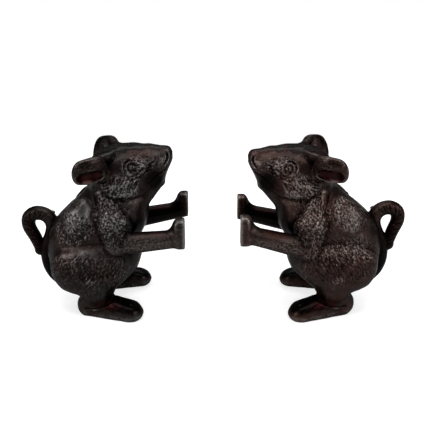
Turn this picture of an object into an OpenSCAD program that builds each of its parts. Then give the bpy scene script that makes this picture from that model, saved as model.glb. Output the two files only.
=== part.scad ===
// Pair of cast-iron mouse bookends. Each mouse stands up and holds the books with its palms.
// A mouse is two hollow sand castings that meet on its middle plane and are drawn together
// by two slotted screws. X runs along the shelf, Y is away from the viewer and Z is up.

/* [Pair] */
// Space between the palms of the two mice
book_gap = 36; // [10:1:120]
// Lean of the left mouse on its ground soles, forward is positive
left_lean = -2; // [-3:0.5:3]
// Lean of the right mouse on its ground soles, forward is positive
right_lean = 2; // [-3:0.5:3]

/* [Trunk] */
// Width across the belly
belly_w = 56; // [48:1:64]
// Width across the shoulders
shoulder_w = 48; // [42:1:54]
// Width across the two haunches
haunch_w = 63; // [58:1:68]
// Thickness of the cast wall
wall = 5; // [4:0.5:6]

/* [Head] */
// Width across the cheeks
cheek_w = 41; // [36:1:46]
// Height of the crown above the soles
crown_z = 116; // [113:1:121]
// Reach of the nose in front of the body's datum
nose_x = 37.5; // [34:0.5:42]
// Outer diameter of an ear
ear_d = 21.5; // [18:0.5:25]
// Thickness of an ear's rim
ear_t = 6; // [4.5:0.5:7]
// Depth of the hollow of an ear
ear_hollow = 3; // [1.5:0.5:3.5]

/* [Arms] */
// Distance between the middles of the two palms
palm_span = 47; // [42:1:54]
// Reach of the palms in front of the body's datum
palm_reach = 44.5; // [41:0.5:50]
// Height of a palm's flat face
palm_h = 18.5; // [16:0.5:24]
// Width of a palm's flat face
palm_w = 11; // [9:0.5:13]
// Height of the middle of the left mouse's front palm above the soles
left_front_palm_z = 62.5; // [60:0.5:70]
// Height of the middle of the left mouse's rear palm above the soles
left_rear_palm_z = 64.5; // [60:0.5:70]
// Height of the middle of the right mouse's front palm above the soles
right_front_palm_z = 67.5; // [60:0.5:70]
// Height of the middle of the right mouse's rear palm above the soles
right_rear_palm_z = 65; // [60:0.5:70]
// Height of the left mouse's elbows above the soles
left_elbow_z = 53.5; // [48:0.5:58]
// Height of the right mouse's elbows above the soles
right_elbow_z = 50; // [48:0.5:58]
// Thickness of a forearm at the wrist
forearm_d = 12.5; // [10:0.5:13.5]
// Thickness of a forearm at the elbow
elbow_d = 16; // [13:0.5:17]
// Thickness of an upper arm
upper_arm_d = 21; // [18:0.5:23]

/* [Legs] */
// Length of a sole
foot_l = 46; // [40:1:50]
// Width of a sole
foot_w = 17; // [15:1:20]
// Height of a foot over the instep
foot_h = 15; // [12:0.5:17]
// Distance between the middles of the two feet
foot_span = 41; // [38:1:48]
// Turn of the toes away from the middle plane
toe_out = 14; // [5:1:20]
// Thickness of an ankle
ankle_d = 20; // [17:0.5:22]

/* [Tail] */
// Thickness of the tail at its root
tail_d = 8.6; // [7:0.2:9]
// Thickness of the tail at the top of its loop
tail_loop_d = 9.6; // [8:0.2:10.4]
// Thickness of the tail at its tip
tail_tip_d = 6.6; // [5.6:0.2:7.6]

/* [Fasteners] */
// Diameter of a screw's shank
screw_d = 5; // [4:0.5:6]
// Diameter of a screw's domed head
screw_head_d = 9; // [8:0.5:10]
// Height of a screw's domed head
screw_head_h = 3; // [2.5:0.25:3.5]
// Width of the driver slot
slot_w = 1.4; // [1:0.1:1.8]
// Depth of the driver slot
slot_h = 1.5; // [1:0.1:2]
// Diameter of the bosses that the screws pass through
boss_d = 14; // [12:0.5:16]
// Thread of a screw held in the tapped boss
thread_grip = 12; // [8:1:16]
// Diameter of the cast locating pegs
peg_d = 5; // [4:0.5:6]
// Height of the cast locating pegs
peg_h = 3; // [2:0.5:4]

/* [Hidden] */
thread_play = 0.05;    // all round between a shank and its tapped hole
shank_play = 0.3;      // all round between a shank and its clearance hole
head_play = 0.6;       // all round between a screw's head and its counterbore
peg_play = 0.08;       // all round between a peg and its socket
socket_spare = 0.6;    // depth of a socket or tapped hole past what it holds
sink = 2.5;            // depth of a screw's head below the cast surface
sole_stock = 2;        // metal below the soles that the grinding takes off
palm_stock = 2;        // metal ahead of the palms that the grinding takes off
palm_level = 65;       // height at which the palms are set to their reach
wrist_drop = 2.2;      // fall of the underside of a wrist below its palm
far = 200;             // reach of the cutting blocks
iron_dark = [0.16, 0.13, 0.12];
iron_warm = [0.21, 0.14, 0.12];
steel = [0.62, 0.62, 0.6];

// ---- Stations that shape the trunk and the head --------------------------------------

// Trunk, from between the legs to inside the head: height, back, front, half width.
belly_hw = belly_w / 2;
shoulder_hw = shoulder_w / 2;
trunk = [
    [10, -35, -12, belly_hw * 0.42],
    [16, -43, -3, belly_hw * 0.72],
    [26, -50.4, 7, belly_hw * 0.93],
    [38, -53, 11.5, belly_hw],
    [48, -52.4, 12, belly_hw * 0.99],
    [57.5, -50, 12.6, belly_hw * 0.93],
    [66.5, -44.6, 15.5, shoulder_hw],
    [74.5, -36.6, 19, shoulder_hw * 0.93],
    [82.5, -26, 22, shoulder_hw * 0.8],
    [89.5, -18, 20, shoulder_hw * 0.65],
    [95.5, -13, 13, shoulder_hw * 0.5]
];

// Head, from the nape to the nose: distance in front, underside, top, half width.
cheek_hw = cheek_w / 2;
head = [
    [-18, crown_z - 25, crown_z - 13, cheek_hw * 0.35],
    [-14.5, crown_z - 30, crown_z - 7, cheek_hw * 0.66],
    [-8, crown_z - 34, crown_z - 2.5, cheek_hw * 0.88],
    [1, crown_z - 36.5, crown_z - 0.3, cheek_hw],
    [10, crown_z - 37.5, crown_z, cheek_hw * 0.98],
    [18, crown_z - 36.5, crown_z - 0.4, cheek_hw * 0.85],
    [nose_x - 13, crown_z - 34.5, crown_z - 1, cheek_hw * 0.68],
    [nose_x - 7.5, crown_z - 30, crown_z - 1.7, cheek_hw * 0.52],
    [nose_x - 3.5, crown_z - 20, crown_z - 3, cheek_hw * 0.38],
    [nose_x - 1, crown_z - 14.5, crown_z - 4.5, cheek_hw * 0.24],
    [nose_x, crown_z - 11, crown_z - 6.5, cheek_hw * 0.12]
];

trunk_sides = 26;      // facets round the trunk
head_sides = 20;       // facets round the head
cavity_sides = 16;     // facets round the hollows
tail_sides = 10;       // facets round the tail

// A point between b and c on the smooth curve through a, b, c and d.
function spline(a, b, c, d, t) =
    0.5 * (2 * b + (c - a) * t + (2 * a - 5 * b + 4 * c - d) * t * t
        + (3 * b - a - 3 * c + d) * t * t * t);

// The rows with smooth ones put between them, so that each gap holds `steps` of them.
function smooth(rows, steps) = concat(
    [for (i = [0 : len(rows) - 2], s = [0 : steps - 1])
        spline(rows[max(i - 1, 0)], rows[i], rows[i + 1], rows[min(i + 2, len(rows) - 1)], s / steps)],
    [rows[len(rows) - 1]]
);

// Power of the cosine and the sine that rounds a section a little squarer than an ellipse.
function squared(v) = sign(v) * pow(abs(v), 0.9);

// Level section of the trunk; `inset` draws the hollow inside it.
function trunk_ring(row, sides, inset) = [for (i = [0 : sides - 1])
    let (t = 360 * (i + 0.5) / sides,
         mid = (row[1] + row[2]) / 2,
         depth = (row[2] - row[1]) / 2 - inset,
         half = row[3] - inset)
    [mid + depth * squared(cos(t)), half * squared(sin(t)), row[0]]];

// Upright section of the head; `inset` draws the hollow inside it.
function head_ring(row, sides, inset) = [for (i = [0 : sides - 1])
    let (t = 360 * (i + 0.5) / sides,
         mid = (row[1] + row[2]) / 2,
         rise = (row[2] - row[1]) / 2 - inset,
         half = row[3] - inset)
    [row[0], half * squared(cos(t)), mid + rise * squared(sin(t))]];

// Closed skin over rings that all have the same number of points.
module skin(rings) {
    n = len(rings[0]);
    last = len(rings) - 1;
    polyhedron(
        points = [for (ring = rings, p = ring) p],
        faces = concat(
            [for (r = [0 : last - 1], i = [0 : n - 1])
                [r * n + i, (r + 1) * n + i, (r + 1) * n + (i + 1) % n]],
            [for (r = [0 : last - 1], i = [0 : n - 1])
                [r * n + i, (r + 1) * n + (i + 1) % n, r * n + (i + 1) % n]],
            [[for (i = [0 : n - 1]) i]],
            [[for (i = [n - 1 : -1 : 0]) last * n + i]]
        )
    );
}

// ---- Sculpted masses of one mouse, facing +X, with its datum under its chest ---------

module trunk_mass() {
    skin([for (row = smooth(trunk, 2)) trunk_ring(row, trunk_sides, 0)]);
}

module head_mass() {
    skin([for (row = smooth(head, 2)) head_ring(row, head_sides, 0)]);
}

// Hollow of the trunk, one wall in from its skin.
module trunk_hollow() {
    rows = [for (row = trunk) if (row[0] > trunk[0][0] + wall && row[3] > 2 * wall) row];
    skin([for (row = smooth(rows, 1)) trunk_ring(row, cavity_sides, wall)]);
}

// Hollow of the head, one wall in from its skin.
module head_hollow() {
    rows = [for (row = head) if (row[3] > 2 * wall) row];
    skin([for (row = smooth(rows, 1)) head_ring(row, cavity_sides, wall)]);
}

// Round ear: a thick disc with a rounded rim and a dished hollow on its outer side, on a
// stub that grows from the side of the head. It leans outward and turns a little forward.
ear_at = [-11.4, cheek_hw + 6, crown_z - 10];
ear_turn = 28;         // fall of the hollow side below the level
ear_yaw = 30;          // turn of the hollow side towards the nose
ear_rim = ear_t / 2;
module ear() {
    dish = (pow(ear_d / 2 - ear_rim, 2) + pow(ear_hollow, 2)) / (2 * ear_hollow);
    translate(ear_at)
        rotate([0, 0, -ear_yaw])
            rotate([-90 - ear_turn, 0, 0])
                difference() {
                    rotate_extrude($fn = 48) union() {
                        translate([0, -ear_rim]) square([ear_d / 2 - ear_rim, ear_t]);
                        intersection() {
                            translate([ear_d / 2 - ear_rim, 0]) circle(r = ear_rim, $fn = 32);
                            translate([0, -ear_t]) square([ear_d, 2 * ear_t]);
                        }
                    }
                    translate([0, 0, ear_rim + dish - ear_hollow]) sphere(r = dish, $fn = 64);
                }
    hull() {
        translate([-3, cheek_hw - 7, crown_z - 15]) sphere(r = 7, $fn = 20);
        translate(ear_at + [3, -5, -5]) sphere(r = ear_rim, $fn = 20);
    }
}

// Arm: a heavy lobe from the shoulder to the elbow and a straight bar out to the palm.
shoulder_at = [-3, shoulder_hw - 6, 80.5];
module arm(palm_z, elbow_z) {
    elbow_at = [-1, palm_span / 2 - 1, elbow_z];
    hull() {
        translate(shoulder_at) scale([1, 0.8, 1]) sphere(d = upper_arm_d * 0.9, $fn = 24);
        translate(elbow_at) scale([1, 0.75, 0.85]) sphere(d = upper_arm_d, $fn = 24);
    }
    hull() {
        translate(elbow_at) sphere(d = elbow_d, $fn = 24);
        translate([palm_reach - 8, palm_span / 2, palm_z - palm_h / 2 + forearm_d / 2 - wrist_drop])
            sphere(d = forearm_d, $fn = 24);
    }
}

// Palm: an upright plate with a wedge that rises behind it from the forearm.
palm_round = 3;
module palm(palm_z) {
    foot_z = palm_z - palm_h / 2;
    top_z = palm_z + palm_h / 2;
    heel_x = palm_reach - 12;
    translate([0, (palm_span + palm_w) / 2, 0])
        rotate([90, 0, 0])
            linear_extrude(palm_w)
                polygon([
                    [heel_x, foot_z + 1.5], [palm_reach + palm_stock, foot_z],
                    [palm_reach + palm_stock, top_z - palm_round],
                    [palm_reach + palm_stock - palm_round, top_z],
                    [palm_reach - 4.5, top_z], [palm_reach - 6.5, top_z - palm_round],
                    [heel_x, palm_z + 1]
                ]);
}

// Haunch and leg, which taper to the ankle.
ankle_at = [-17, foot_span / 2 - 3, foot_h - 2];
module leg() {
    hull() {
        translate([-18, haunch_w / 2 - 15, 34.5]) scale([1.9, 1, 1.35]) sphere(d = 30, $fn = 28);
        translate(ankle_at) sphere(d = ankle_d, $fn = 24);
    }
}

// Foot: a flat-soled shoe shape that is rounded at heel and toe and turned out.
heel_x = -33;          // back of the heel
module foot() {
    translate([heel_x, foot_span / 2 - foot_l / 2 * sin(toe_out), 0])
        rotate([0, 0, toe_out])
            hull() {
                translate([foot_w * 0.45, 0, foot_h * 0.35])
                    scale([0.9, 0.85, 1]) sphere(d = foot_w, $fn = 24);
                translate([foot_l * 0.52, 0, foot_h * 0.5])
                    scale([1, 0.8, 1]) sphere(d = foot_h, $fn = 24);
                translate([foot_l - foot_w * 0.5, 0, foot_h * 0.25])
                    scale([1, 1, 0.95]) sphere(d = foot_w, $fn = 24);
                translate([foot_w * 0.45, 0, -sole_stock])
                    scale([0.9, 0.85, 1]) cylinder(d = foot_w, h = foot_h * 0.4, $fn = 24);
                translate([foot_l - foot_w * 0.5, 0, -sole_stock])
                    cylinder(d = foot_w, h = foot_h * 0.28, $fn = 24);
            }
}

// Tail: up from the rump against the back, over in a loop, with its tip on the rising part.
tail_path = [
    [-34, 15.5], [-45.5, 17], [-51.6, 21.8], [-54.9, 29], [-55.6, 37], [-54.2, 46], [-50.2, 54],
    [-48.4, 61.5], [-51.4, 67.8], [-58, 70], [-63.6, 67], [-64.8, 60.5], [-62, 52.6],
    [-60.2, 46], [-59.6, 41]
];
tail_split = 8;        // place in the path where the rising part ends and the curl begins
tail_top = 9;          // place in the path where the tail is thickest
tail_steps = 2;
bend_spare = 0.2;      // by which the ball where the two parts meet is thicker than the loop
function tail_points() = smooth(tail_path, tail_steps);
function heading(points, i) =
    let (d = points[min(i + 1, len(points) - 1)] - points[max(i - 1, 0)]) d / norm(d);
function tail_ring(points, i) =
    let (h = heading(points, i),
         top = tail_top * tail_steps,
         r = (i < top ? tail_d + (tail_loop_d - tail_d) * i / top
             : tail_loop_d + (tail_tip_d - tail_loop_d) * (i - top) / (len(points) - 1 - top)) / 2)
    [for (k = [0 : tail_sides - 1])
        let (t = 360 * (k + 0.5) / tail_sides)
        [points[i][0] + h[1] * r * cos(t), r * sin(t), points[i][1] - h[0] * r * cos(t)]];
module tail() {
    points = tail_points();
    bend = tail_split * tail_steps;
    last = len(points) - 1;
    skin([for (i = [0 : bend]) tail_ring(points, i)]);
    skin([for (i = [bend : last]) tail_ring(points, i)]);
    translate([points[bend][0], 0, points[bend][1]]) sphere(d = tail_loop_d + bend_spare, $fn = 24);
    translate([points[last][0], 0, points[last][1]]) sphere(d = tail_tip_d + 0.6, $fn = 24);
}

// ---- Screws, bosses and pegs ----------------------------------------------------------

// Places of the screws on the middle plane, with the half width of the casting there.
upper_screw = [-21, 65, shoulder_hw * 0.96];
lower_screw = [-20, 35, haunch_w / 2 - 1];
// Places of the locating pegs: in the head and between the legs.
peg_places = [[4, crown_z - 18, cheek_hw], [-24, 20, belly_hw * 0.7]];

function seat_y(place) = place[2] - sink - screw_head_h;

// Rod of diameter d from y0 to y1 at a place on the middle plane.
module rod(place, d, y0, y1) {
    translate([place[0], y1, place[1]]) rotate([90, 0, 0]) cylinder(d = d, h = y1 - y0, $fn = 48);
}

module screw(place) {
    seat = seat_y(place);
    dome = (screw_head_d * screw_head_d / 4 + screw_head_h * screw_head_h) / (2 * screw_head_h);
    color(steel) {
        rod(place, screw_d, -thread_grip, seat + screw_head_h / 2);
        difference() {
            intersection() {
                translate([place[0], seat + screw_head_h - dome, place[1]]) sphere(r = dome, $fn = 64);
                rod(place, screw_head_d, seat, seat + screw_head_h);
            }
            translate([place[0] - screw_head_d, seat + screw_head_h - slot_h, place[1] - slot_w / 2])
                cube([2 * screw_head_d, screw_head_h, slot_w]);
        }
    }
}

// ---- The two castings of a mouse -------------------------------------------------------

// Everything on the +Y side of the middle plane, hollow, with its bosses still undrilled.
module half_casting(palm_z, elbow_z) {
    difference() {
        union() {
            difference() {
                union() {
                    trunk_mass();
                    head_mass();
                    tail();
                    ear();
                    arm(palm_z, elbow_z);
                    leg();
                }
                trunk_hollow();
                head_hollow();
            }
            for (place = [upper_screw, lower_screw]) rod(place, boss_d, 0, place[2] - wall);
            for (place = peg_places) rod(place, peg_d + 2 * wall, 0, place[2] - wall);
            palm(palm_z);
            foot();
        }
        translate([-far, -far, -far]) cube([2 * far, far, 2 * far]);
    }
}

// Half that the screws enter: clearance holes, counterbores and sockets.
module screwed_half(palm_z, elbow_z) {
    difference() {
        half_casting(palm_z, elbow_z);
        for (place = [upper_screw, lower_screw]) {
            rod(place, screw_d + 2 * shank_play, -1, seat_y(place) + 1);
            rod(place, screw_head_d + 2 * head_play, seat_y(place), far);
        }
        for (place = peg_places) rod(place, peg_d + 2 * peg_play, -1, peg_h + socket_spare);
    }
}

// Half that the screws pull in: tapped holes and locating pegs, drawn on the +Y side.
module tapped_half(palm_z, elbow_z) {
    difference() {
        half_casting(palm_z, elbow_z);
        for (place = [upper_screw, lower_screw])
            rod(place, screw_d + 2 * thread_play, -1, thread_grip + socket_spare);
    }
    for (place = peg_places) rod(place, peg_d, -peg_h, 1);
}

// Grinds the soles level and the palms upright once the mouse stands at its lean.
module ground(lean) {
    difference() {
        rotate([0, lean, 0]) children();
        translate([-far, -far, -far]) cube([2 * far, 2 * far, far]);
        translate([palm_face(lean), -far, 0]) cube([far, 2 * far, far]);
    }
}
function palm_face(lean) = palm_reach * cos(lean) + palm_level * sin(lean);

// Places a mouse on its side of the books; side is -1 for the left mouse and 1 for the right.
module stand(side, lean) {
    translate([side * (book_gap / 2 + palm_face(lean)), 0, 0])
        mirror([side > 0 ? 1 : 0, 0, 0]) children();
}

module front_half(side, lean, palm_z, elbow_z, finish) {
    color(finish) stand(side, lean) ground(lean) mirror([0, 1, 0]) tapped_half(palm_z, elbow_z);
}

module rear_half(side, lean, palm_z, elbow_z, finish) {
    color(finish) stand(side, lean) ground(lean) screwed_half(palm_z, elbow_z);
}

module placed_screw(side, lean, place) {
    stand(side, lean) rotate([0, lean, 0]) screw(place);
}

module left_front_half() { front_half(-1, left_lean, left_front_palm_z, left_elbow_z, iron_dark); }
module left_rear_half() { rear_half(-1, left_lean, left_rear_palm_z, left_elbow_z, iron_dark); }
module left_upper_screw() { placed_screw(-1, left_lean, upper_screw); }
module left_lower_screw() { placed_screw(-1, left_lean, lower_screw); }
module right_front_half() { front_half(1, right_lean, right_front_palm_z, right_elbow_z, iron_warm); }
module right_rear_half() { rear_half(1, right_lean, right_rear_palm_z, right_elbow_z, iron_warm); }
module right_upper_screw() { placed_screw(1, right_lean, upper_screw); }
module right_lower_screw() { placed_screw(1, right_lean, lower_screw); }

left_front_half();
left_rear_half();
left_upper_screw();
left_lower_screw();
right_front_half();
right_rear_half();
right_upper_screw();
right_lower_screw();
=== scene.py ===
import math

import bpy
import numpy as np
import openvdb
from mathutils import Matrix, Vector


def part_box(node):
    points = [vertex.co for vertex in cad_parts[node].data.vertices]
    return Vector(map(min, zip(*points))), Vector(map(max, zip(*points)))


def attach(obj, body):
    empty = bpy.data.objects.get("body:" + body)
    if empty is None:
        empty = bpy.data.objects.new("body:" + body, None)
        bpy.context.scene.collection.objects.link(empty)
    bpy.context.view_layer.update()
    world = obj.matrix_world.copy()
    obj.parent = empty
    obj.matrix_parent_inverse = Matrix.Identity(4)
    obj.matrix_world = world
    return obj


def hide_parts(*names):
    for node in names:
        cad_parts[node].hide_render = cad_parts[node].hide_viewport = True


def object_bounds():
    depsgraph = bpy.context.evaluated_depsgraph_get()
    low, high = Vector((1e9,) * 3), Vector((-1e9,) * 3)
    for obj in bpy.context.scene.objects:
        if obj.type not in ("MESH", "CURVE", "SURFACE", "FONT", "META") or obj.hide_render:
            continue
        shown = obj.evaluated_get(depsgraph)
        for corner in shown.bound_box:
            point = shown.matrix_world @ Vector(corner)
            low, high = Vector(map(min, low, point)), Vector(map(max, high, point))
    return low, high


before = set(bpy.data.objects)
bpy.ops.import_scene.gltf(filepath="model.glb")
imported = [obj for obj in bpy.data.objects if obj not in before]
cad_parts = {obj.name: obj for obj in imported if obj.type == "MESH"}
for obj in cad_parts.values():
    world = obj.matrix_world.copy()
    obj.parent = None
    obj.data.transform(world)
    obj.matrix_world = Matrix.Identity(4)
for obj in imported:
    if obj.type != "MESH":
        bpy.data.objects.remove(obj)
cad_low, cad_high = [list(corner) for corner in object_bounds()]

# ---- Trunk ------------------------------------------------------------------------------------
# Each mouse is two hollow sand castings of grey iron that part on its middle plane. The pattern was
# carved in clay, so it is built here as clay too: a grid of signed distances in millimetres, less
# than 0 inside the iron, for the half with y > 0 of a mouse that faces +x.
MM = 0.001
pitch = 0.38
grid_x = np.arange(-72, 48, pitch, dtype=np.float32)
grid_y = np.arange(-3 * pitch, 37, pitch, dtype=np.float32)
grid_z = np.arange(-4, 119, pitch, dtype=np.float32)
grids = (grid_x, grid_y, grid_z)
all_x, all_y, all_z = np.ix_(*grids)
nowhere = 30
# Keeps the slopes of the forms below off zero.
TINY = 1e-9


def region(low, high):
    """Index ranges and coordinates of the grid between two corners."""
    cut = tuple(slice(int(np.searchsorted(g, a)), int(np.searchsorted(g, b)))
                for g, a, b in zip(grids, low, high))
    return cut, np.ix_(*(g[c] for g, c in zip(grids, cut)))


def join(a, b, fillet):
    """Smaller of two distances, with a fillet of this width where they cross."""
    share = np.clip(0.5 + 0.5 * (b - a) / fillet, 0, 1)
    return b + (a - b) * share - fillet * share * (1 - share)


class Clay:
    """Distances over the whole grid; forms are added and carved between two corners of it."""

    def __init__(self, like=None):
        size = (len(grid_x), len(grid_y), len(grid_z))
        self.gap = like.gap.copy() if like else np.full(size, nowhere, np.float32)

    def add(self, form, low, high, fillet=1.0):
        cut, place = region(low, high)
        self.gap[cut] = join(self.gap[cut], form(*place), fillet)

    def carve(self, form, low, high, fillet):
        cut, place = region(low, high)
        self.gap[cut] = -join(-self.gap[cut], form(*place), fillet)

    def slope(self, i, j, k):
        """Change of the distance per millimetre along each axis, at cells of the grid."""
        return np.stack([self.gap[i + 1, j, k] - self.gap[i - 1, j, k],
                         self.gap[i, j + 1, k] - self.gap[i, j - 1, k],
                         self.gap[i, j, k + 1] - self.gap[i, j, k - 1]], 1) / (2 * pitch)

    def skin(self, points):
        """Nearest points of the surface to points close to it, and the normals there."""
        points = np.array(points, float)
        for _ in range(3):
            index = tuple(np.clip(np.rint((points[:, i] - g[0]) / pitch).astype(int), 1, len(g) - 2)
                          for i, g in enumerate(grids))
            slope = self.slope(*index)
            steep = np.maximum(np.linalg.norm(slope, axis=1, keepdims=True), 0.2)
            cell = np.stack([g[i] for g, i in zip(grids, index)], 1)
            gap = self.gap[index][:, None] + np.sum((points - cell) * slope, 1, keepdims=True)
            points = points - slope * gap / steep ** 2
        return points, slope / steep


def egg(centre, radii, power=2.0, axes=None):
    """Ellipsoid, squarer with a power above 2; `axes` are its own three directions."""
    def form(x, y, z):
        p = (x - centre[0], y - centre[1], z - centre[2])
        if axes is not None:
            p = [a[0] * p[0] + a[1] * p[1] + a[2] * p[2] for a in axes]
        u = [np.abs(q) / r for q, r in zip(p, radii)]
        reach = (u[0] ** power + u[1] ** power + u[2] ** power + TINY) ** (1 / power)
        slope = np.sqrt(sum((v ** (power - 1) / r) ** 2 for v, r in zip(u, radii)) + TINY)
        return (reach - 1) * reach ** (power - 1) / slope
    return form


def tilted(cosine, sine):
    """Axes of an egg that leans in side view."""
    return (cosine, 0, sine), (0, 1, 0), (-sine, 0, cosine)


def stations(rows):
    """Smooth curves through rows of stations, as a function of each row's first number."""
    rows = np.array(rows, float)
    ends = np.vstack([rows[0], rows, rows[-1]])
    t = np.arange(0, 1, 0.1)[:, None]
    a, b, c, d = (ends[i:len(ends) - 3 + i, None] for i in range(4))
    curve = 0.5 * (2 * b + (c - a) * t + (2 * a - 5 * b + 4 * c - d) * t ** 2
                   + (3 * b - a - 3 * c + d) * t ** 3)
    curve = np.vstack([curve.reshape(-1, rows.shape[1]), rows[-1]])
    return lambda at: [np.interp(at, curve[:, 0], curve[:, i]).astype(np.float32)
                       for i in range(1, rows.shape[1])]


def section(u, v, wide, deep, power):
    """Distance to the edge of a section, an ellipse at power 2 and squarer above it."""
    a, b = np.abs(u) / wide, np.abs(v) / deep
    reach = (a ** power + b ** power + TINY) ** (1 / power)
    slope = np.sqrt((a ** (power - 1) / wide) ** 2 + (b ** (power - 1) / deep) ** 2 + TINY)
    return (reach - 1) * reach ** (power - 1) / slope


# Height, back, front and half width.
trunk_rows = [
    (10, -34.5, -12, 11.5), (16, -42.5, -3, 20), (26, -49.8, 7, 25.5), (38, -52.8, 11.5, 27.5),
    (48, -52.4, 12, 27), (57.5, -50, 12.6, 25.2), (66.5, -44.6, 15.5, 23.6),
    (74.5, -36.6, 19, 22), (82.5, -26, 22, 18.5), (89.5, -18, 20, 15), (95.5, -13, 13, 12)]
trunk_low, trunk_high = trunk_rows[0][0], trunk_rows[-1][0]
trunk_at = stations(trunk_rows)
trunk_power = 2.25
low_back_z, low_back_fade, low_back_loss = 34, 12, 0.55


def trunk_form(x, y, z):
    """A little squarer than an ellipse, and narrower towards the back and front low down."""
    back, front, half = trunk_at(z)
    power = trunk_power - low_back_loss * np.clip((low_back_z - z) / low_back_fade, 0, 1)
    ring = section(x - (front + back) / 2, y, (front - back) / 2, half, power)
    return np.maximum(ring, np.maximum(trunk_low - z, z - trunk_high))


shoulder_blade = egg((-24.5, 13.5, 69.5), (11, 11.2, 15.5), axes=tilted(0.88, -0.47))
chest = egg((6, 5, 70), (12.5, 15, 17))
body = Clay()
body.add(trunk_form, (-70, -9, 5), (40, 37, 100))
body.add(shoulder_blade, (-46, -9, 45), (-4, 30, 92), 2)
body.add(chest, (-10, -9, 48), (25, 26, 92), 4)

# ---- Head -------------------------------------------------------------------------------------
# The head is cast in one with the trunk, half of it on each casting: a flat-topped wedge that ends
# in a blunt nose, with a cheek that hangs over the shoulder and a lower jaw under the mouth.


def limb(a, b, ra, rb, flat=1.0):
    """Round bar from a to b that changes from radius ra to rb; `flat` narrows it across y."""
    a, b = np.array(a, float), np.array(b, float)
    run = b - a

    def form(x, y, z):
        p = (x - a[0], y - a[1], z - a[2])
        t = np.clip((p[0] * run[0] + p[1] * run[1] + p[2] * run[2]) / run.dot(run), 0, 1)
        off = np.sqrt((p[0] - t * run[0]) ** 2 + ((p[1] - t * run[1]) / flat) ** 2
                      + (p[2] - t * run[2]) ** 2)
        return (off - ra - (rb - ra) * t) * min(1, flat)
    return form


# Distance ahead, underside, top and half width.
head_rows = [
    (-18, 91, 103, 7), (-14.5, 86, 109, 13.5), (-8, 82, 113.4, 17.6), (1, 79.8, 115.5, 19.6),
    (10, 79, 115.9, 18.4), (18, 80, 115.5, 15.6), (24.5, 82, 114.9, 12.6),
    (30, 88, 114.1, 9.8), (34, 97.5, 113.1, 7.4), (36.5, 102.5, 111.8, 5), (37.4, 105, 110, 2.6)]
head_back, head_front = head_rows[0][0], head_rows[-1][0]
head_at = stations(head_rows)
head_power = 2.4


def head_form(x, y, z):
    under, top, half = head_at(x)
    ring = section(y, z - (top + under) / 2, half, (top - under) / 2, head_power)
    return np.maximum(ring, np.maximum(head_back - x, x - head_front))


def neck_fillet(x, y):
    """The crease under the cheek is sharp at the side and fills up at the throat and the nape."""
    side, at_throat, at_nape = 0.9, 5.5, 3
    throat_y, throat_fade, nape_x, nape_fade = 3, 10, -6, 8
    throat = at_throat * np.clip(1 - (y - throat_y) / throat_fade, 0, 1)
    return side + throat + at_nape * np.clip((nape_x - x) / nape_fade, 0, 1)


nape = egg((-8.6, 0, 92), (8.6, 12.5, 9.5))
cheek = egg((3.5, 10.6, 91.8), (14, 10.6, 11.6))
muzzle = egg((26.5, 5.5, 103.5), (8, 6.2, 7))
nose = egg((32.8, 0, 108.4), (4.6, 5.6, 5.2), 3)
lower_jaw = limb((12, 0, 81.8), (27.2, 0, 89.8), 8.4, 4.4)
skull = Clay()
skull.add(head_form, (-26, -9, 70), (44, 34, 119))
skull.add(nape, (-20, -9, 80), (4, 16, 104), 4)
skull.add(cheek, (-16, -9, 74), (24, 30, 110), 3.5)
skull.add(muzzle, (14, -9, 92), (40, 18, 114), 4)
skull.add(nose, (26, -9, 100), (42, 10, 116), 1.2)
skull.add(lower_jaw, (0, -9, 70), (36, 14, 104), 2.2)
body.gap = join(body.gap, skull.gap, neck_fillet(all_x, all_y))

# ---- Ears -------------------------------------------------------------------------------------
# Round ears cast in one with each half: thick cups of iron with a rolled upper rim, on a short
# thick root, whose hollow looks out, forward and down.
ear_at = np.array([-11.4, 26.3, 105.9])
drop, yaw = math.radians(28), math.radians(30)
ear_out = np.array([math.cos(drop) * math.sin(yaw), math.cos(drop) * math.cos(yaw), -math.sin(drop)])
ear_along = np.array([math.cos(yaw), -math.sin(yaw), 0])
ear_up = np.cross(ear_along, ear_out)
ear_axes = (ear_along, ear_up, ear_out)
ear_low, ear_high = ear_at - 16, ear_at + 16

ear_root = limb((-5, 14, 100), ear_at + ear_along * 3 - ear_out * 2.4, 6.5, 3.6)
ear_disc = egg(ear_at, (10.9, 10.4, 3.4), 2.5, ear_axes)
ear_front = limb(ear_at + ear_up * 7 + ear_along * 2, (1.5, 10, 112), 2.6, 2.6)
ear_back = limb((-8.5, 14, 104), ear_at + ear_up * 3 - ear_out * 2, 5, 3.4)
ear_rim = egg(ear_at + ear_up * 4.8 + ear_out * 1.1, (9.4, 4.4, 3.2), 2, ear_axes)
ear_hollow = egg(ear_at + ear_out * 4.2 - ear_up * 3.2, (8.6, 6.2, 6.0), 2.2, ear_axes)
body.add(ear_root, (-18, 2, 88), (8, 34, 114), 2.5)
body.add(ear_disc, ear_low, ear_high, 1.4)
body.add(ear_front, (-16, 2, 102), (10, 34, 118), 2)
body.add(ear_back, (-20, 2, 94), (8, 34, 116), 3)
body.add(ear_rim, ear_low, ear_high, 1)
body.carve(ear_hollow, ear_low, ear_high, 1.4)

# ---- Haunches, legs and feet ------------------------------------------------------------------
# Cast in one with the trunk: a heavy haunch that ends above in a level ledge, a leg that tapers into
# the heel, and a shoe-like foot that stands on the shelf, rounded above and drawn in at the sole.
haunch = egg((-21, 16.6, 37.6), (26.6, 14.6, 19.5), 2.5, tilted(0.985, 0.17))
leg = limb((-18, 17.5, 30), (-18.5, 18.2, 14), 14.5, 10.8)
heel = egg((-25.5, 16.8, 7.5), (8.2, 7.6, 8.2))

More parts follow.
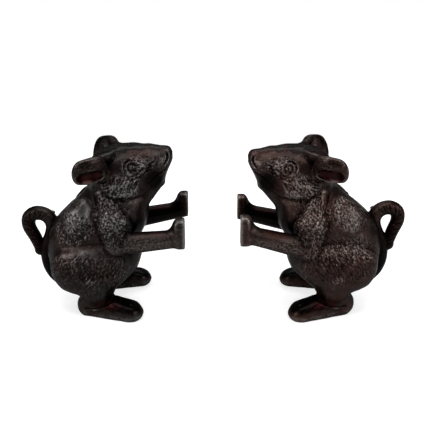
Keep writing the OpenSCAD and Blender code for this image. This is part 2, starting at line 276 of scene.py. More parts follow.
foot_heel, foot_toe = np.array([-25.6, 16.9]), np.array([4.3, 24.3])
foot_span = np.linalg.norm(foot_toe - foot_heel)
foot_run = (foot_toe - foot_heel) / foot_span
heel_half_width, toe_gain, widest_z = 7.2, 1.3, 4
drawn_in_above, drawn_in_below = 0.06, 0.17
instep_z, toe_drop, drop_start, drop_run = 15.4, 5.2, 15, 20
foot_edge = 6.5


def foot_form(x, y, z):
    """A rounded bar from heel to toe, its top falling from the instep to the toe."""
    along = (x - foot_heel[0]) * foot_run[0] + (y - foot_heel[1]) * foot_run[1]
    across = np.abs((y - foot_heel[1]) * foot_run[0] - (x - foot_heel[0]) * foot_run[1])
    t = np.clip(along / foot_span, 0, 1)
    width = heel_half_width + toe_gain * t
    width = width - drawn_in_above * np.maximum(z - widest_z, 0) ** 1.5
    width = width - drawn_in_below * np.maximum(widest_z - z, 0) ** 1.6
    side = np.sqrt((along - t * foot_span) ** 2 + across ** 2) - width
    top = z - (instep_z - toe_drop * np.clip((along - drop_start) / drop_run, 0, 1.2) ** 1.2)
    return -join(-side, -top, foot_edge)


body.add(haunch, (-54, -9, 12), (12, 34, 64), 1.4)
body.add(leg, (-38, -9, 0), (4, 34, 50), 5)
body.add(foot_form, (-40, 2, -4), (20, 37, 22), 1.1)
body.add(heel, (-36, 6, -4), (-14, 28, 18), 2.5)

# Hand work leaves the whole pattern slightly lumpy, by about a tenth of a millimetre.
lumps = np.random.default_rng(7)
lump_waves, lump_height = 14, 0.034
for _ in range(lump_waves):
    way = lumps.normal(size=3)
    way *= lumps.uniform(0.5, 1.2) / np.linalg.norm(way)
    wave = (np.exp(1j * (way[0] * all_x + lumps.uniform(0, 6))) * np.exp(1j * way[1] * all_y)
            * np.exp(1j * way[2] * all_z))
    body.gap += lump_height * wave.imag


def line_on(clay, points):
    """Points on the skin, and normals, along a smooth line given in side view, from the outside."""
    last, steps = len(points) - 1, 6
    curve = stations([(i, *p) for i, p in enumerate(points)])
    found = []
    for x, z in zip(*curve(np.linspace(0, last, last * steps + 1))):
        i, k = int(np.searchsorted(grid_x, x)), int(np.searchsorted(grid_z, z))
        inside = np.nonzero(clay.gap[i, :, k] < 0)[0]
        found.append((x, grid_y[inside[-1]] if len(inside) else 0, z))
    return clay.skin(found)


def groove(clay, points, radius, depth):
    """Cuts a groove along a line on the skin; it fades at both ends."""
    spots, normals = line_on(clay, points)
    blunt, room, edge = 0.25, 1.2, 0.25
    fade = np.sin(np.linspace(blunt, math.pi - blunt, len(spots)))
    for i in range(len(spots) - 1):
        r = radius * (0.6 + 0.4 * fade[i:i + 2])
        lift = r - depth * fade[i:i + 2]
        a = spots[i] + normals[i] * lift[0]
        b = spots[i + 1] + normals[i + 1] * lift[1]
        low, high = np.minimum(a, b) - radius - room, np.maximum(a, b) + radius + room
        clay.carve(limb(a, b, r[0], r[1]), low, high, edge)


ankle_crease = [(-27, 8.2), (-20, 9.2), (-12.5, 11.6), (-5.5, 15.2), (-1.5, 18)]
groove(body, ankle_crease, 1.5, 1.5)

# ---- Tail -------------------------------------------------------------------------------------
# A thick rope of iron, split down its middle between the castings. It climbs the back, turns over in
# a loop and ends in a knob on its rising part; a lump of flash stands where it leaves the back.
tail_points = [
    (-34, 15.5), (-45.5, 17), (-51.6, 21.8), (-54.9, 29), (-55.6, 37), (-54.2, 46), (-50.2, 54),
    (-48.4, 61.5), (-51.4, 67.8), (-58, 70), (-63.6, 67), (-64.8, 60.5), (-62, 52.6), (-60.2, 46),
    (-59.7, 41.6)]
tail_end = len(tail_points) - 1
tail_path = stations([(i, *point) for i, point in enumerate(tail_points)])
tail_steps = np.linspace(0, tail_end, 4 * tail_end + 1)
tail_x, tail_z = tail_path(tail_steps)
tail_r = np.interp(tail_steps, [0, 5, 9, 12, tail_end], [4.2, 4.3, 4.75, 4.1, 3.4])
tail_room = 9
tail = Clay()
for i in range(len(tail_steps) - 1):
    a, b = (tail_x[i], 0, tail_z[i]), (tail_x[i + 1], 0, tail_z[i + 1])
    low, high = np.minimum(a, b) - tail_room, np.maximum(a, b) + tail_room
    tail.add(limb(a, b, tail_r[i], tail_r[i + 1]), low, high, 0.6)
knob = egg((-59.9, 0, 42), (3.7, 3.7, 3.2))
flash = egg((-47.6, 0, 70), (2.6, 0.9, 1.7))
tail.add(knob, (-66, -9, 34), (-54, 9, 48), 1)
tail.add(flash, (-53, -9, 65), (-43, 9, 75), 0.8)
body.gap = join(body.gap, tail.gap, 1.2)

# Strokes that wind round the loop like the lay of a rope, none quite like the next.
loop_start, loop_end, stroke_step = 8.2, 13.4, 0.42
stroke_across, stroke_along, stroke_radius = 3.3, 1.8, 0.6
for i, t in enumerate(np.arange(loop_start, loop_end, stroke_step)):
    (ax, bx), (az, bz) = tail_path(np.array([t - 0.25, t + 0.25]))
    run = np.array([bx - ax, bz - az]) / math.hypot(bx - ax, bz - az)
    mid = np.array([(ax + bx) / 2, (az + bz) / 2])
    lie = np.array([-run[1], run[0]]) * stroke_across + run * stroke_along
    stroke = [mid - lie, mid + run * math.sin(5 * i), mid + lie]
    groove(body, stroke, stroke_radius, 0.32 + 0.14 * math.sin(3 * i))

# ---- Face -------------------------------------------------------------------------------------
# Carved into the pattern with a veiner and cast with the head: small almond eyes in a ring of lids,
# the slit of the mouth, nostrils, whisker roots and a fan of strokes on each cheek.


def arc(x, z, wide, high, start, end):
    """Points of an arc in side view, its angles in degrees from straight ahead."""
    turn = np.radians(np.linspace(start, end, 7))
    return [(x + wide * math.cos(t), z + high * math.sin(t)) for t in turn]


eye_x, eye_z = 12.8, 104.6
eye_spot, eye_out = (found[0] for found in line_on(body, [(eye_x, eye_z), (eye_x, eye_z)]))
eye_socket = egg(eye_spot + eye_out * 5.0, (6.0, 5.6, 5.4))
body.carve(eye_socket, eye_spot - 10, eye_spot + 10, 1.0)
eye_spot = eye_spot - eye_out * 0.6
eyeball = egg(eye_spot - eye_out * 1.2, (2.9, 2.4, 2.3))
body.add(eyeball, eye_spot - 6, eye_spot + 6, 0.5)

upper_lid = arc(eye_x - 0.4, eye_z + 0.3, 4.2, 4.0, 75, 215)
lower_lid = arc(eye_x, eye_z - 0.5, 5.4, 5.0, 240, 320)
fold_under_eye = arc(eye_x, eye_z - 0.9, 7.4, 6.8, 240, 310)
pupil = [(eye_x + 0.8, eye_z + 1.2), (eye_x + 0.3, eye_z - 1.0)]
mouth = [(34.2, 101.4), (30.8, 99.2), (27.6, 97.4), (24.8, 95.0)]
mouth_corner = [(25.4, 95.8), (23.6, 94.0), (22.6, 92.4)]
jaw_edge = [(26.5, 92.0), (23.6, 89.4), (20.4, 86.8), (16.8, 84.6)]
nostril = [(34.4, 111.0), (35.0, 108.6), (34.2, 105.8), (32.4, 103.6)]
for line, radius, depth in [
        (upper_lid, 0.6, 0.6), (lower_lid, 0.5, 0.25), (fold_under_eye, 0.5, 0.25), (pupil, 0.5, 0.45),
        (mouth, 0.8, 0.6), (mouth_corner, 1.2, 0.45), (jaw_edge, 0.7, 0.35), (nostril, 0.9, 0.9)]:
    groove(body, line, radius, depth)
whisker_roots = [(25.5, 104.4), (27, 106.8), (23.8, 101.8), (21.4, 103.6)]
for x, z in whisker_roots:
    groove(body, [(x, z), (x - 2.2, z - 0.8), (x - 4.4, z - 2.3)], 0.6, 0.5)
# Rows of strokes down the cheek: number, first root, step to the next, bend, tip and depth.
for count, first, step, bend, tip, depth in [
        (11, (-1.4, 86.4), (1.4, 0.3), (1.7, 3.2), (3.9, 6.8), 0.65),
        (9, (-6.4, 95.2), (1.5, -0.2), (1.1, 2.4), (2.8, 4.6), 0.6),
        (6, (-9.0, 99.4), (0.8, -1.9), (2.4, 0.6), (4.8, 2.2), 0.7)]:
    for i in range(count):
        x, z = first[0] + step[0] * i, first[1] + step[1] * i
        groove(body, [(x, z), (x + bend[0], z + bend[1]), (x + tip[0], z + tip[1])], 0.6, depth)

# ---- Coat -------------------------------------------------------------------------------------
# Short hair strokes cut into the pattern on the cheeks, shoulders, arms, back and haunches, and cast
# with it; the band across the flank, the chest, the legs and the feet stay plain.
parting_margin = 0.8
stroke_spread, stroke_room, stroke_edge = 0.3, 0.8, 0.2


def comb(clay, centre, radii, flow, count, seed, length, radius, depth):
    """Cuts `count` short strokes into the skin inside an ellipsoid, along `flow`."""
    rng = np.random.default_rng(seed)
    centre, radii, flow = np.array(centre, float), np.array(radii, float), np.array(flow, float)
    cut, _ = region(centre - radii, centre + radii)
    at_skin = np.abs(clay.gap[cut]) < 0.7 * pitch
    cells = np.argwhere(at_skin) + [c.start for c in cut]
    spots = np.stack([g[cells[:, i]] for i, g in enumerate(grids)], 1)
    near = np.sum(((spots - centre) / radii) ** 2, 1)
    kept = (near < 1) & (spots[:, 1] > parting_margin) & (rng.random(len(near)) > near ** 2)
    spots = spots[kept]
    spots = spots[rng.permutation(len(spots))[:count]]
    spots, normals = clay.skin(spots)
    way = flow + rng.normal(0, stroke_spread, (len(spots), 3))
    way -= normals * np.sum(way * normals, 1, keepdims=True)
    way /= np.linalg.norm(way, axis=1, keepdims=True)
    half = 0.5 * length * rng.uniform(0.5, 1.2, (len(spots), 1))
    ends, _ = clay.skin(np.vstack([spots - way * half, spots + way * half]))
    deep = depth * rng.uniform(0.5, 1.2, len(spots))
    for i, (a, b) in enumerate(zip(ends[:len(spots)], ends[len(spots):])):
        out = normals[i] * (radius - deep[i])
        mid = spots[i] + out
        for start, end, at_start, at_end in ((a + out, mid, 0.5, 1), (mid, b + out, 1, 0.5)):
            low = np.minimum(start, end) - radius - stroke_room
            high = np.maximum(start, end) + radius + stroke_room
            clay.carve(limb(start, end, radius * at_start, radius * at_end), low, high, stroke_edge)


def patches(band, haunch):
    """Each patch's centre, reach, lie of the hair, number of strokes, their length, radius and depth,
    and how strongly their ridges are speckled with wear and painted glints, for a plain band at height
    `band` and a haunch speckled this much."""
    return {
        "cheek": ((4, 19, 91), (13, 12, 11), (0.5, 0, 1), 260, 2.4, 0.5, 0.46, 1),
        "muzzle": ((16, 13, 104), (14, 11, 8), (1, 0, 0.3), 150, 1.8, 0.45, 0.26, 0.9),
        "upper_arm": ((-2, 26, 73), (14, 12, 21), (0.2, 0, 1), 620, 2.2, 0.5, 0.42, 1),
        "shoulder": ((-28, 17, band + 14), (15, 16, 13), (0.3, 0, 1), 480, 2.4, 0.52, 0.44, 1),
        "ledge": ((-22, 26, band - 11), (29, 14, 9), (0.4, 0, 1), 420, 2.8, 0.5, 0.36, haunch),
        "haunch": ((-20, 26, band - 22), (26, 14, 12), (0.7, 0, 1), 520, 3.4, 0.42, 0.3, 0.15),
        "forearm": ((20, 28, 55), (22, 6, 6), (1, 0, 0.1), 90, 3.2, 0.55, 0.22, 0.5),
        "ear": ((-12, 28, 110), (10, 10, 5), (1, -0.5, 0.3), 60, 2.0, 0.45, 0.2, 0.8),
    }


def coat(clay, band, haunch):
    thick = 1.0
    for seed, (*where, count, length, radius, depth, _) in enumerate(patches(band, haunch).values()):
        comb(clay, *where, int(count * thick), seed, length, radius, depth)


def nearness(points, centre, reach, fall=1.0):
    """1 at the centre of an ellipsoid of this reach, fading away outside it."""
    return np.exp(-fall * np.sum(((points - centre) / reach) ** 2, axis=1))


def furred(points, band, haunch):
    """1 where the coat's ridges are speckled with wear and painted glints, and 0 on the plain parts."""
    share = np.zeros(len(points))
    for centre, reach, *_, speckle_share in patches(band, haunch).values():
        share = np.maximum(share, speckle_share * nearness(points, centre, reach, 1.2))
    return share


# ---- Arms and palms ---------------------------------------------------------------------------
# A heavy upper arm, cast with its half, drops from the shoulder to the elbow, and a straight bar runs
# out to an upright palm with a web behind it. The palms are ground flat to take the books.
palm_reach, palm_y, palm_tall, palm_mid_z = 44.5, 23.5, 18.5, 65
palm_inset, palm_half_depth, palm_half_width = 2.6, 4.6, 5.6
shoulder, mid_arm = (-7, 13.2, 86.4), (-1.8, 19.6, 67)
elbow_x, elbow_y, wrist_x, wrist_rise = -1.5, 21.4, 37, 4.4
shoulder_r, mid_arm_r, elbow_r, forearm_r, wrist_r = 6.4, 11.2, 8.9, 7.6, 6.1
arm_flat, forearm_flat = 0.84, 0.92
ground_edge = 0.5


def with_arm(clay, palm_z, elbow_z, palm_drop):
    """A copy of the clay with an arm; `palm_drop` makes the palm longer below."""
    elbow = (elbow_x, elbow_y, elbow_z)
    wrist = (wrist_x, palm_y, palm_z - palm_tall / 2 + wrist_rise)
    upper_half = limb(shoulder, mid_arm, shoulder_r, mid_arm_r, arm_flat)
    lower_half = limb(mid_arm, elbow, mid_arm_r, elbow_r, arm_flat)
    forearm = limb(elbow, wrist, forearm_r, wrist_r, forearm_flat)
    palm_top, palm_end = palm_z + palm_tall / 2, palm_z - palm_tall / 2 - palm_drop
    palm = egg((palm_reach - palm_inset, palm_y, (palm_top + palm_end) / 2),
               (palm_half_depth, palm_half_width, (palm_top - palm_end) / 2), 3.6)
    web = limb((35.5, palm_y, palm_z - 2.5), (39.4, palm_y, palm_z + 4.5), 3.2, 2.4)
    arm = Clay()
    arm.add(upper_half, (-26, 2, 46), (18, 36, 98), 1)
    arm.add(lower_half, (-24, 2, 36), (18, 36, 84), 1.5)
    arm.add(forearm, (-16, 8, 38), (46, 36, 74), 1.6)
    arm.add(palm, (32, 14, 48), (48, 34, 84), 2.5)
    arm.add(web, (26, 14, 52), (46, 34, 82), 3)
    out = Clay(clay)
    out.gap = join(out.gap, arm.gap, 0.7)
    return out


def ground(clay, lean):
    """Grinds the soles and the palms flat once the mouse stands at its lean."""
    c, s = math.cos(lean), math.sin(lean)
    face = palm_reach * c + palm_mid_z * s
    clay.gap = -join(-clay.gap, all_z * c - all_x * s, ground_edge)
    clay.gap = -join(-clay.gap, face - all_x * c - all_z * s, ground_edge)
    return face


# ---- Screw seats ------------------------------------------------------------------------------
# Two slotted screws draw each pair of halves together. Their heads sit in counterbores on the
# rear half, and the front half is drilled and tapped for them.
head_bore, clear_bore, tapped_bore = 5.1, 2.8, 2.55
seat_depth, tapped_depth = 5.5, 12.6
past_inside, past_outside = -5, 60
# Each screw's x and z, and the y of the skin that its seat lies below.
screw_places = [(-21, 65, 23.04), (-20, 35, 30.5)]


def bore(x0, z0, radius, y0, y1):
    """A round hole across the casting, from y0 to y1."""
    def form(x, y, z):
        ring = np.sqrt((x - x0) ** 2 + (z - z0) ** 2) - radius
        return np.maximum(ring, np.maximum(y0 - y, y - y1))
    return form


def drill(clay, rear):
    for x, z, skin_y in screw_places:
        seat = skin_y - seat_depth
        low, high = (x - 8, -9, z - 8), (x + 8, 37, z + 8)
        if rear:
            clay.carve(bore(x, z, head_bore, seat, past_outside), low, high, 0.3)
            clay.carve(bore(x, z, clear_bore, past_inside, seat + 1), low, high, 0.1)
        else:
            clay.carve(bore(x, z, tapped_bore, past_inside, tapped_depth), low, high, 0.1)


# ---- The castings -----------------------------------------------------------------------------
# Each half is poured in iron, fettled along the parting line, ground on its palm and its sole, and
# dipped in a dark baked finish that hands have since worn grey on the ridges; painted highlights go with
# that wear on the ridges, and painted shade darkens the hollows.
# The palms' faces stand this far from the middle of the row of books.
half_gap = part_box("right_front_half")[0][0] / MM
parting_y, parting_edge = 0.03, 0.2
relief_limit, fine_reach, broad_reach = 3, 0.9, 2.4


def relief(gap, points, reach):
    """How far the skin stands proud, in mm, of the mean surface within `reach` of each point."""
    k = max(1, round(reach / pitch))
    for axis in range(3):
        sums = np.cumsum(gap, axis=axis, dtype=np.float32)
        index = np.arange(gap.shape[axis])
        ahead, behind = np.minimum(index + k, len(index) - 1), np.maximum(index - k - 1, 0)
        count = (ahead - behind).reshape([-1 if i == axis else 1 for i in range(3)])
        gap = (np.take(sums, ahead, axis=axis) - np.take(sums, behind, axis=axis)) / count
    points = np.clip(points, 1, np.array(gap.shape) - 3)
    cell = points.astype(int)
    part = points - cell
    total = 0
    for corner in np.ndindex(2, 2, 2):
        share = np.prod(np.where(corner, part, 1 - part), axis=1)
        total = total + share * gap[tuple((cell + corner).T)]
    return total


def in_ear(points):
    """1 in the hollow of the ear and 0 away from it."""
    middle = ear_at - ear_up * 4 - ear_out * 0.2
    return nearness((points - middle) @ np.array(ear_axes).T, 0, (9.5, 6.4, 3.2))


# Centre, reach and amount: above 0 lighter, for worn finish and painted highlights such as the sheen on
# the cheek, the shoulder blade and the ridge of the shoulder; below 0 darker, for black finish and
# painted shade such as the body mirrored on the top of the foot, the shade inside the far arm and the
# shadow under the mouth.
wear_and_light_places = {
    "cheek": ((6, 20, 91), (12, 9, 9), 1.6),
    "upper_arm": ((-3, 29, 73), (9, 9, 12), 0.6),
    "shoulder_blade": ((-28, 22, 71), (8, 9, 9), 1.5),
    "haunch_ledge": ((-22, 31, 49), (17, 7, 5), 0.5),
    "haunch": ((-20, 32, 34), (20, 9, 10), -0.15),
    "forearm": ((22, 31, 57), (18, 4, 7), 0.4),
    "edge_of_sole": ((-12, 31, 6), (14, 5, 6), 0.5),
    "muzzle": ((22, 12, 106), (10, 8, 6), 0.7),
    "top_of_foot": ((6, 25, 12.5), (19, 11, 5.5), -5),
    "ankle": ((-13, 29, 12), (9, 5, 3), -2),
    "tail": ((-60, 0, 50), (11, 9, 36), -2.4),
    "inside_of_arm": ((20, 15.5, 58), (30, 4.5, 14), -2.2),
    "under_mouth": ((25.5, 9, 94.5), (8, 10, 8), -2.6),
    "ridge_of_shoulder": ((-17, 22, 80), (3.5, 9, 13), 1.1),
    "lobe_of_ear": ((-9, 33, 99), (9, 5, 4), 0.7),
    "top_of_ear": ((-12, 30, 111), (12, 8, 5), -0.9),
    "eye": ((eye_x, 17, eye_z), (4, 5, 3.5), -0.7),
    "top_of_forearm": ((20, 23, 66), (15, 6, 4), -1.8),
    "nose": ((35, 0, 108), (4, 7, 6), -1.2),
    "inside_of_palm": ((38, 16, 64), (6, 6, 12), -1),
    "low_back": ((-52, 0, 24), (9, 12, 12), -1.4),
    "crown": ((4, 6, 114), (24, 14, 7), -1.0),
    "neck_crease": ((-12, 21, 84), (9, 9, 6), -0.6),
}
# Where the red undercoat shows, apart from the hollow of the ear: centre, reach and share.
rusty_places = {
    "ankle": ((-13, 29, 12), (10, 6, 4), 0.8),
    "loop_of_tail": ((-60, 0, 56), (11, 9, 20), 0.35),
    "top_of_forearm": ((22, 22, 65), (12, 6, 4), 0.6),
    "palm": ((40, 24, 64), (6, 8, 9), 0.3),
    "haunch": ((-24, 28, 38), (18, 9, 10), 0.25),
    "root_of_ear": ((-10, 12, 103), (8, 10, 6), 0.3),
}


# Lighter above 0 and darker below 0: wear with painted highlights, black finish with painted shade.
def wear_and_light_share(points):
    # Painted shade darkens the hollow of the ear, together with its black finish.
    black_and_shade_in_ear = 2.2
    share = np.zeros(len(points))
    for centre, reach, amount in wear_and_light_places.values():
        share += amount * nearness(points, centre, reach)
    return share - black_and_shade_in_ear * in_ear(points)


def rust(points):
    share = in_ear(points)
    for centre, reach, amount in rusty_places.values():
        share = np.maximum(share, amount * nearness(points, centre, reach))
    return share


def casting_mesh(name, clay, side, lean, face, rear, band, haunch):
    """The surface of the clay as a mesh in metres, stood in its place beside the books."""
    halved = np.clip(-join(-clay.gap, all_y - parting_y, parting_edge), -relief_limit, relief_limit)
    grid = openvdb.FloatGrid(nowhere)
    grid.copyFromArray(halved)
    cells, faces = grid.convertToQuads(isovalue=0)
    near_skin = np.clip(clay.gap, -relief_limit, relief_limit)
    fine, broad = (relief(near_skin, cells, reach) / reach for reach in (fine_reach, broad_reach))
    points = cells * pitch + [grid_x[0], grid_y[0], grid_z[0]]
    c, s = math.cos(lean), math.sin(lean)
    across = points[:, 0] * c + points[:, 2] * s
    height = points[:, 2] * c - points[:, 0] * s
    depth = points[:, 1] * (1 if rear else -1)
    placed = np.stack([side * (half_gap + face - across), depth, height], 1) * MM
    mesh = bpy.data.meshes.new(name)
    mesh.from_pydata(np.clip(placed, cad_low, cad_high).tolist(), [], faces.tolist())
    mesh.update()
    # The finish reads these: the relief paints shade in the hollows and highlights on the ridges, and
    # the listed places add wear, painted highlights and painted shade.
    marks = {"fine_relief": fine, "broad_relief": broad, "wear_and_painted_light": wear_and_light_share(points),
             "furred": furred(points, band, haunch), "rust": rust(points)}
    for label, values in marks.items():
        mark = mesh.attributes.new(label, "FLOAT", "POINT")
        mark.data.foreach_set("value", values.astype(np.float32))
    return mesh


def iron(name, black_and_painted_shade, body_tone, warm_tone, worn_and_highlight_tone):
    """Baked dark finish over sand-cast iron: painted shade makes the hollows near black, and wear with
    painted highlights makes the ridges greyer.
    """
    undercoat = (0.045, 0.006, 0.005)
    material = bpy.data.materials.new(name)
    material.use_nodes = True
    nodes, links = material.node_tree.nodes, material.node_tree.links
    shader = nodes["Principled BSDF"]
    shader.inputs["Specular IOR Level"].default_value = 0.3
    shader.inputs["Specular Tint"].default_value = (0.12, 0.11, 0.11, 1)
    shader.inputs["Metallic"].default_value = 0.7
    shader.inputs["Coat Weight"].default_value = 0.05
    shader.inputs["Coat Roughness"].default_value = 0.13
    where = nodes.new("ShaderNodeTexCoord")

    def noise(scale, detail, rough=0.6):
        node = nodes.new("ShaderNodeTexNoise")
        node.inputs["Scale"].default_value = scale
        node.inputs["Detail"].default_value = detail
        node.inputs["Roughness"].default_value = rough
        links.new(where.outputs["Object"], node.inputs["Vector"])
        return node.outputs["Fac"]

    def span(value, low, high, to_low=0.0, to_high=1.0):
        node = nodes.new("ShaderNodeMapRange")
        node.inputs["From Min"].default_value = low
        node.inputs["From Max"].default_value = high
        node.inputs["To Min"].default_value = to_low
        node.inputs["To Max"].default_value = to_high
        links.new(value, node.inputs["Value"])
        return node.outputs["Result"]

    def maths(kind, a, b):
        node = nodes.new("ShaderNodeMath")
        node.operation = kind
        for socket, value in zip(node.inputs, (a, b)):
            links.new(value, socket)
        return node.outputs["Value"]

    def blend(share, a, b):
        node = nodes.new("ShaderNodeMix")
        node.data_type = "RGBA"
        for socket, value in (("A", a), ("B", b)):
            if isinstance(value, tuple):
                node.inputs[socket].default_value = (*value, 1)
            else:
                links.new(value, node.inputs[socket])
        links.new(share, node.inputs["Factor"])
        return node.outputs["Result"]

    def carried(label):
        node = nodes.new("ShaderNodeAttribute")
        node.attribute_name = label
        return node.outputs["Fac"]

    # How light the finish is at a place: its relief, which paints shade in the hollows and highlights
    # with the wear on the ridges; specks where the coat is cut; and the listed places of wear, painted
    # highlights and painted shade.
    coat_here = span(carried("furred"), 0.25, 0.7)
    # Specks of lighter and darker finish, stronger in the coat: wear and painted glints on the hair
    # strokes.
    speckle = span(noise(800, 4, 0.75), 0.32, 0.68, -1, 1)
    speckle = maths("MULTIPLY", speckle, span(coat_here, 0, 1, 0.6, 1.9))
    fine = span(carried("fine_relief"), -0.25, 0.25, -1.3, 1.3)
    broad = span(carried("broad_relief"), -0.25, 0.25, -1, 1)
    height = maths("ADD", maths("ADD", maths("ADD", fine, broad), speckle), carried("wear_and_painted_light"))

    colour = blend(span(noise(45, 5), 0.4, 0.64), body_tone, warm_tone)
    # Painted shade: near black where the skin sinks below its neighbours and at the darkened places.
    colour = blend(span(height, 0.0, -1.3), colour, black_and_painted_shade)
    # Worn grey with painted highlights where the skin stands proud and at the lightened places.
    colour = blend(span(height, 0.3, 2.2, 0, 0.9), colour, worn_and_highlight_tone)
    red = maths("MULTIPLY", span(carried("rust"), 0.1, 1, 0, 0.75), span(noise(220, 4), 0.3, 0.6))
    colour = blend(red, colour, undercoat)
    links.new(colour, shader.inputs["Base Color"])

    uneven = span(noise(300, 3), 0.3, 0.7, -0.08, 0.08)
    roughness = maths("ADD", span(coat_here, 0, 1, 0.2, 0.35), uneven)
    links.new(roughness, shader.inputs["Roughness"])
    grain = nodes.new("ShaderNodeBump")
    grain.inputs["Strength"].default_value = 0.6
    grain.inputs["Distance"].default_value = 0.0004
    links.new(noise(1300, 4, 0.65), grain.inputs["Height"])
    links.new(grain.outputs["Normal"], shader.inputs["Normal"])
    return material


# Each finish: near black with painted shade, two body tones, and worn grey with painted highlights.
finishes = {
    "left": iron("left_baked_iron", black_and_painted_shade=(0.001, 0.0004, 0.0003), body_tone=(0.02, 0.0165, 0.0152),
                 warm_tone=(0.03, 0.0175, 0.015), worn_and_highlight_tone=(0.2, 0.195, 0.19)),
    "right": iron("right_baked_iron", black_and_painted_shade=(0.0015, 0.0006, 0.0005), body_tone=(0.028, 0.0185, 0.0158),
                  warm_tone=(0.044, 0.0215, 0.017), worn_and_highlight_tone=(0.25, 0.215, 0.2)),
}
# Side of the books, lean in degrees, height of the plain band and speckle of the haunch (wear and
# painted glints), and for each half the heights of palm and elbow and the extra length of the palm
# below.
mice = {
    "left": (-1, -2, 52, 0.5, {"front": (62.5, 54.1, 2.2), "rear": (64.5, 54.1, 0)}),
    "right": (1, 2, 61, 0.95, {"front": (67.5, 50.6, 2.2), "rear": (65, 50.6, 0)}),
}
for mouse, (side, degrees, band, haunch_speckle, arms) in mice.items():
    lean = math.radians(degrees)
    for half, arm in arms.items():
        rear = half == "rear"
        clay = with_arm(body, *arm)
        coat(clay, band, haunch_speckle)
        face = ground(clay, lean)
        drill(clay, rear)
        name = f"{mouse}_{half}_casting"
        mesh = casting_mesh(name, clay, side, lean, face, rear, band, haunch_speckle)
        # Mirrored across one plane only, the faces would look inwards.
        if (side > 0) == rear:
            mesh.flip_normals()
        piece = bpy.data.objects.new(name, mesh)
        bpy.context.collection.objects.link(piece)
        mesh.materials.append(finishes[mouse])
        mesh.polygons.foreach_set("use_smooth", [True] * len(mesh.polygons))
        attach(piece, f"{mouse}_mouse")
        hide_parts(f"{mouse}_{half}_half")

# ---- Screws -----------------------------------------------------------------------------------
# Slotted steel screws, turned, put in from the rear half and drawn tight, blackened with the
# castings and scuffed bright by the driver.
steel = bpy.data.materials.new("darkened_steel")
steel.use_nodes = True
steel_nodes, steel_links = steel.node_tree.nodes, steel.node_tree.links
steel_shader = steel_nodes["Principled BSDF"]
steel_shader.inputs["Metallic"].default_value = 1
steel_place = steel_nodes.new("ShaderNodeTexCoord")
for scale, low, high, socket, at_low, at_high in [
        (700, 0.4, 0.62, "Base Color", (0.05, 0.042, 0.036, 1), (0.3, 0.27, 0.24, 1)),
        (1400, 0.3, 0.7, "Roughness", (0.28, 0.28, 0.28, 1), (0.5, 0.5, 0.5, 1))]:
    scuff = steel_nodes.new("ShaderNodeTexNoise")
    scuff.inputs["Scale"].default_value = scale
    scuff.inputs["Detail"].default_value = 4
    steel_links.new(steel_place.outputs["Object"], scuff.inputs["Vector"])
    ramp = steel_nodes.new("ShaderNodeValToRGB")
    for element, position, value in zip(ramp.color_ramp.elements, (low, high), (at_low, at_high)):
        element.position = position
        element.color = value
    steel_links.new(scuff.outputs["Fac"], ramp.inputs["Fac"])
    steel_links.new(ramp.outputs["Color"], steel_shader.inputs[socket])
for name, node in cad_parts.items():
    if name.endswith("screw"):
        for slot in node.material_slots:
            slot.material = steel

# ---- Shelf, light and view --------------------------------------------------------------------
# A plain white sheet that the pair stands on, a white room, soft lamps above, behind and at both
# sides, and a camera at the middle of the row, a little above.
sheet_x, sheet_front, sheet_back = 0.9, -0.7, 0.45
sheet_corners = [(-sheet_x, sheet_front, 0), (sheet_x, sheet_front, 0),
                 (sheet_x, sheet_back, 0), (-sheet_x, sheet_back, 0)]
sheet_mesh = bpy.data.meshes.new("sheet")
sheet_mesh.from_pydata(sheet_corners, [], [(0, 1, 2, 3)])
sheet = bpy.data.objects.new("sheet", sheet_mesh)
bpy.context.collection.objects.link(sheet)
white = bpy.data.materials.new("white_sheet")
white.use_nodes = True
white_nodes, white_links = white.node_tree.nodes, white.node_tree.links
white_shader = white_nodes["Principled BSDF"]
white_shader.inputs["Base Color"].default_value = (0.6, 0.6, 0.6, 1)
white_shader.inputs["Roughness"].default_value = 0.9
white_shader.inputs["Specular IOR Level"].default_value = 0.1
white_shader.inputs["Emission Color"].default_value = (1, 1, 1, 1)
seen = white_nodes.new("ShaderNodeLightPath")
lift = white_nodes.new("ShaderNodeMath")
lift.operation = "MULTIPLY"
lift.inputs[1].default_value = 0.66
white_links.new(seen.outputs["Is Camera Ray"], lift.inputs[0])
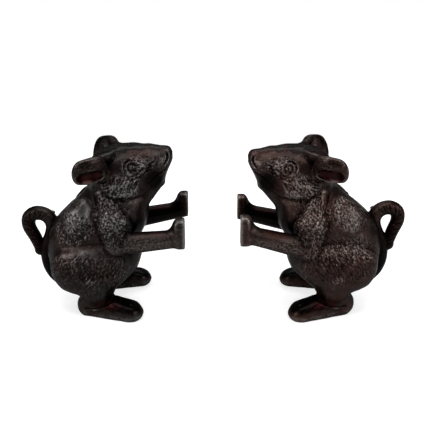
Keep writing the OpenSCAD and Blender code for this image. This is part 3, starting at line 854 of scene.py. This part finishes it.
white_links.new(lift.outputs["Value"], white_shader.inputs["Emission Strength"])
sheet_mesh.materials.append(white)

world = bpy.data.worlds.new("studio")
bpy.context.scene.world = world
world.use_nodes = True
world_nodes, world_links = world.node_tree.nodes, world.node_tree.links
air = world_nodes["Background"]
air.inputs["Color"].default_value = (1, 1, 1, 1)
path = world_nodes.new("ShaderNodeLightPath")
level = world_nodes.new("ShaderNodeMapRange")
level.inputs["To Min"].default_value = 0.1
level.inputs["To Max"].default_value = 1.0
world_links.new(path.outputs["Is Camera Ray"], level.inputs["Value"])
world_links.new(level.outputs["Result"], air.inputs["Strength"])


def lamp(name, place, aim, size, power):
    light = bpy.data.lights.new(name, "AREA")
    light.shape = "RECTANGLE"
    light.size, light.size_y = size
    light.energy = power
    lamp_object = bpy.data.objects.new(name, light)
    bpy.context.collection.objects.link(lamp_object)
    lamp_object.location = place
    towards = np.array(aim) - np.array(place)
    lamp_object.rotation_euler = (
        math.atan2(math.hypot(towards[0], towards[1]), -towards[2]), 0,
        math.atan2(towards[1], towards[0]) - math.pi / 2)


lamp("overhead_lamp", (0.0, -0.15, 1.0), (0, 0, 0.05), (0.9, 0.6), 7.2)
lamp("back_lamp", (0.0, 0.75, 0.85), (0, 0, 0.05), (1.0, 0.3), 4)
lamp("left_lamp", (-0.8, -0.55, 0.5), (0, 0, 0.06), (0.4, 0.5), 5)
lamp("right_lamp", (0.8, -0.55, 0.5), (0, 0, 0.06), (0.4, 0.5), 5)

aim_side, aim_height = 0.0006, 0.0674
lens_reach, lens_drop = 0.350, math.radians(21.8)
camera_data = bpy.data.cameras.new("camera")
camera_data.sensor_width = 36
camera_data.lens = 43.0
camera = bpy.data.objects.new("camera", camera_data)
bpy.context.collection.objects.link(camera)
camera.location = (aim_side, -lens_reach * math.cos(lens_drop),
                   aim_height + lens_reach * math.sin(lens_drop))
camera.rotation_euler = (math.pi / 2 - lens_drop, 0, 0)
bpy.context.scene.camera = camera
bpy.context.scene.view_settings.view_transform = "Standard"
